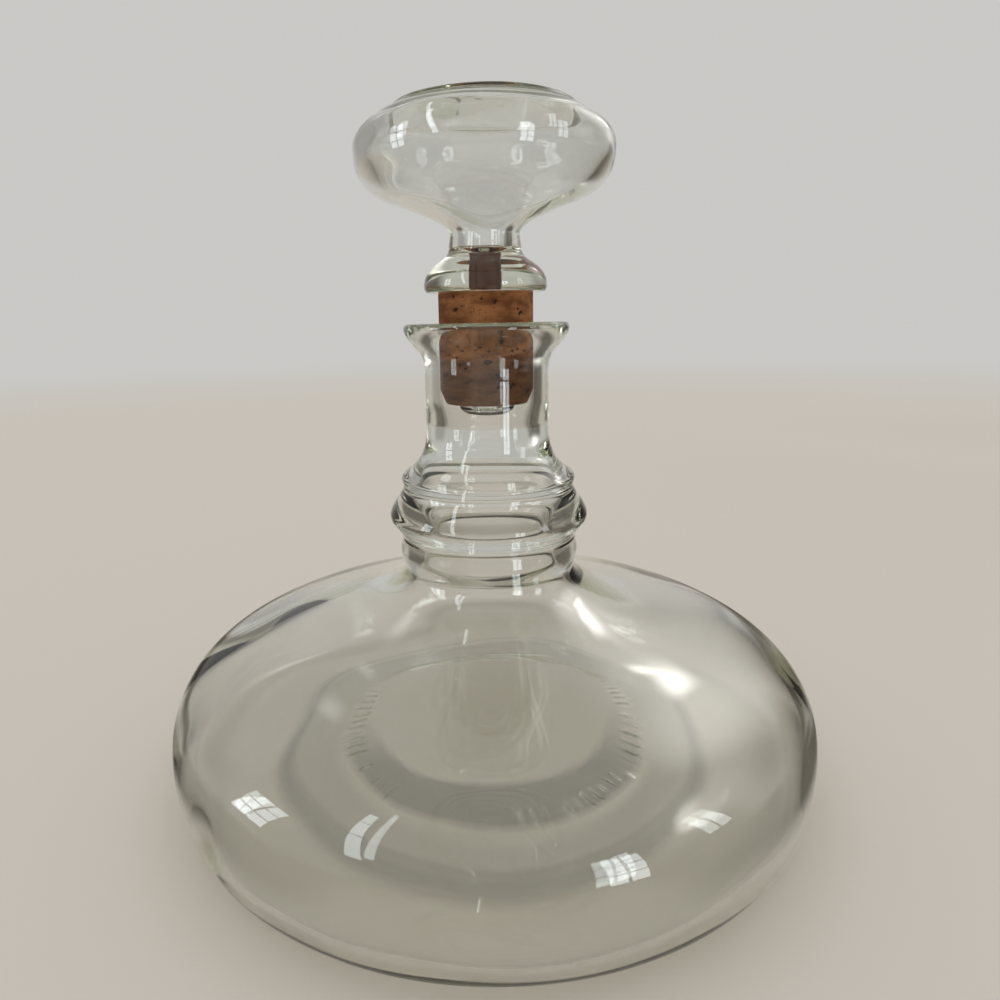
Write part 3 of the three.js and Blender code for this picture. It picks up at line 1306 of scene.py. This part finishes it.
@dataclass
class Stage:
    """Pale floor and surround, daylight from windows, a soft lamp above, and shade at both sides.

    The shade lies on the floor, closer to the base in front than behind, and low in the surround. Only rays
    that glass sends there meet it, so that the glass shows its edges. At the left it is weaker. Each pair
    of numbers gives where something starts to change and where it has changed. Lengths are in metres.
    """

    surround: Colour = (0.585, 0.58, 0.565)
    floor: Colour = (0.575, 0.535, 0.482)
    shade: Colour = (0.07, 0.06, 0.045)
    floor_radius: float = 4.0
    floor_sides: int = 64
    fade: Place = (0.7, 2.4)
    drop: float = 0.0002
    shade_near: Place = (0.11, 0.22)
    shade_edge: Place = (0.094, 0.118)
    shade_front: Place = (0.03, 0.0)
    shade_start: Place = (math.radians(24), math.radians(42))
    shade_end: Place = (math.radians(72), math.radians(88))
    shade_rise: Place = (0.2, 0.6)
    shade_share: float = 0.9
    left_share: float = 0.5
    left_floor: Place = (-0.5, -0.25)
    left_surround: Place = (-0.1, 0.1)
    daylight: Colour = (0.9, 0.97, 1.0)
    walls: Colour = (1.0, 0.98, 0.94)
    lamp_power: float = 1.3
    lamp_spread: float = math.radians(70)
    all_bounces: int = 28
    glossy_bounces: int = 16
    glass_bounces: int = 24

    # Each with its azimuth, distance, width, bottom, top and strength
    windows: tuple[Window, ...] = (
        Window("window_right", 33, 0.5, 0.095, 0.0, 0.24, 8.0),
        Window("window_left", -74, 0.49, 0.11, 0.09, 0.32, 7.0),
        Window("window_side", 64, 0.57, 0.09, 0.14, 0.34, 5.0, rows=2),
        Window("window_high", -51, 0.42, 0.038, 0.17, 0.82, 7.0, lean=-0.185, columns=1),
    )
    soft_panels: tuple[SoftPanel, ...] = (
        SoftPanel("bright_wall", 127, 0.62, 0.6, 0.12, 1.1, 2.6),
        SoftPanel("skylight_right", 136, 0.5, 0.058, 0.35, 0.52, 11.0),
        SoftPanel("skylight_left", -138, 0.5, 0.05, 0.48, 0.68, 2.5),
    )

    def _side_angle(self, graph: Graph, *parts: bpy.types.NodeSocket) -> bpy.types.NodeSocket:
        """Gives how far a direction turns from front or back towards a side, from its two level parts."""
        return graph.math("ARCTAN2", *(graph.math("ABSOLUTE", part) for part in parts))

    def _through_glass(self, graph: Graph) -> bpy.types.NodeSocket:
        """Gives the shade's greatest share for rays that glass sends, and 0 for all others."""
        ray = graph.add("LightPath").outputs
        sent = graph.math("MAXIMUM", ray["Is Glossy Ray"], ray["Is Transmission Ray"])
        return graph.math("MULTIPLY", sent, self.shade_share)

    def _lighter(self, graph: Graph, across: bpy.types.NodeSocket, span: Place) -> bpy.types.NodeSocket:
        """Gives the shade's share, from left_share at span's left to 1 at its right."""
        values = {"Value": across, "From Min": span[0], "From Max": span[1], "To Min": self.left_share}
        return graph.add("MapRange", values).outputs[0]

    def _floor_finish(self) -> bpy.types.Material:
        """Makes the floor's finish, which turns into the surround far from the object.

        Returns:
            The new material.
        """
        made, graph = new_material("pale_floor")
        place = graph.add("TexCoord").outputs["Object"]
        distance = graph.add("VectorMath", {0: place}, operation="LENGTH").outputs["Value"]
        across, along, _ = graph.add("SeparateXYZ", {0: place}).outputs
        aside = graph.ramp(self._side_angle(graph, across, along), *self.shade_start)
        close = graph.product(graph.ramp(distance, *self.shade_edge), graph.ramp(along, *self.shade_front))
        beyond = graph.math("MAXIMUM", graph.ramp(distance, *self.shade_near), close)
        lighter = self._lighter(graph, across, self.left_floor)
        shaded = graph.product(self._through_glass(graph), aside, beyond, lighter)
        near = graph.add("BsdfDiffuse", {"Color": graph.blend(shaded, self.floor, self.shade)})
        far = graph.add("Emission", {"Color": graph.blend(shaded, self.surround, self.shade)})
        graph.show(graph.mix(graph.ramp(distance, *self.fade), near, far))
        return made

    def _build_floor(self) -> None:
        """Makes the round floor just under the object."""
        turn = np.linspace(0, FULL_TURN, self.floor_sides, endpoint=False)
        edge = np.column_stack([np.cos(turn), np.sin(turn), np.zeros(len(turn))]) * self.floor_radius
        edge[:, 2] = -self.drop
        mesh = bpy.data.meshes.new("floor")
        mesh.from_pydata(edge.tolist(), [], [list(range(len(edge)))])
        mesh.materials.append(self._floor_finish())
        made = add_object("floor", mesh)

    def _build_surround(self) -> None:
        """Gives the world the surround's colour, with low shade between front or back and each side."""
        world = bpy.data.worlds.new("surround")
        world.use_nodes = True
        graph = Graph(world.node_tree)
        way = graph.add("TexCoord").outputs["Generated"]
        across, along, rise = graph.add("SeparateXYZ", {0: way}).outputs
        aside = self._side_angle(graph, across, along)
        band = (graph.ramp(aside, *self.shade_start), graph.ramp(aside, *self.shade_end[::-1]))
        lighter = self._lighter(graph, across, self.left_surround)
        low = graph.ramp(rise, *self.shade_rise[::-1])
        shaded = graph.product(self._through_glass(graph), *band, lighter, low)
        sky = graph.add("Background", {"Color": graph.blend(shaded, self.surround, self.shade)})
        graph.add("OutputWorld", {"Surface": sky.outputs[0]})
        bpy.context.scene.world = world

    def _build_lamp(self) -> None:
        """Lights everything evenly from above, with soft shadows."""
        lamp = bpy.data.lights.new("soft_lamp", "SUN")
        lamp.angle = self.lamp_spread
        lamp.energy = self.lamp_power
        made = add_object("soft_lamp", lamp)
        made.visible_glossy = False
        made.visible_transmission = False

    def _allow_long_paths(self) -> None:
        """Lets light bounce often enough inside the glass walls to come out again."""
        paths = bpy.context.scene.cycles
        paths.max_bounces = self.all_bounces
        paths.glossy_bounces = self.glossy_bounces
        paths.transmission_bounces = self.glass_bounces
        paths.transparent_max_bounces = self.glass_bounces

    def build(self) -> None:
        """Makes everything round the object."""
        self._build_floor()
        self._build_surround()
        self._build_lamp()
        for window in self.windows:
            window.build(self.daylight)
        for panel in self.soft_panels:
            panel.build(self.walls)
        self._allow_long_paths()
        bpy.context.scene.view_settings.view_transform = "Standard"


def main() -> None:
    """Loads the frame, builds the camera, the stage and the three pieces, and reports each piece."""
    logging.basicConfig(level=logging.INFO, format="%(name)s %(message)s")
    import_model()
    PhotoCamera().build()
    Stage().build()
    frame = Frame.measured()
    glass = GlassFinish()
    pieces = (
        GlassBottle(frame, glass.material("bottle_glass", UNDERSIDE_SHADE)),
        GlassStopper(frame, glass.material("stopper_glass", PAINTED_BORE)),
        CorkSleeve(frame, CorkFinish().material()),
    )
    for piece in pieces:
        made = piece.build()
        log.info("%s: %d faces", made.name, len(made.data.polygons))


if __name__ == "__main__":
    main()
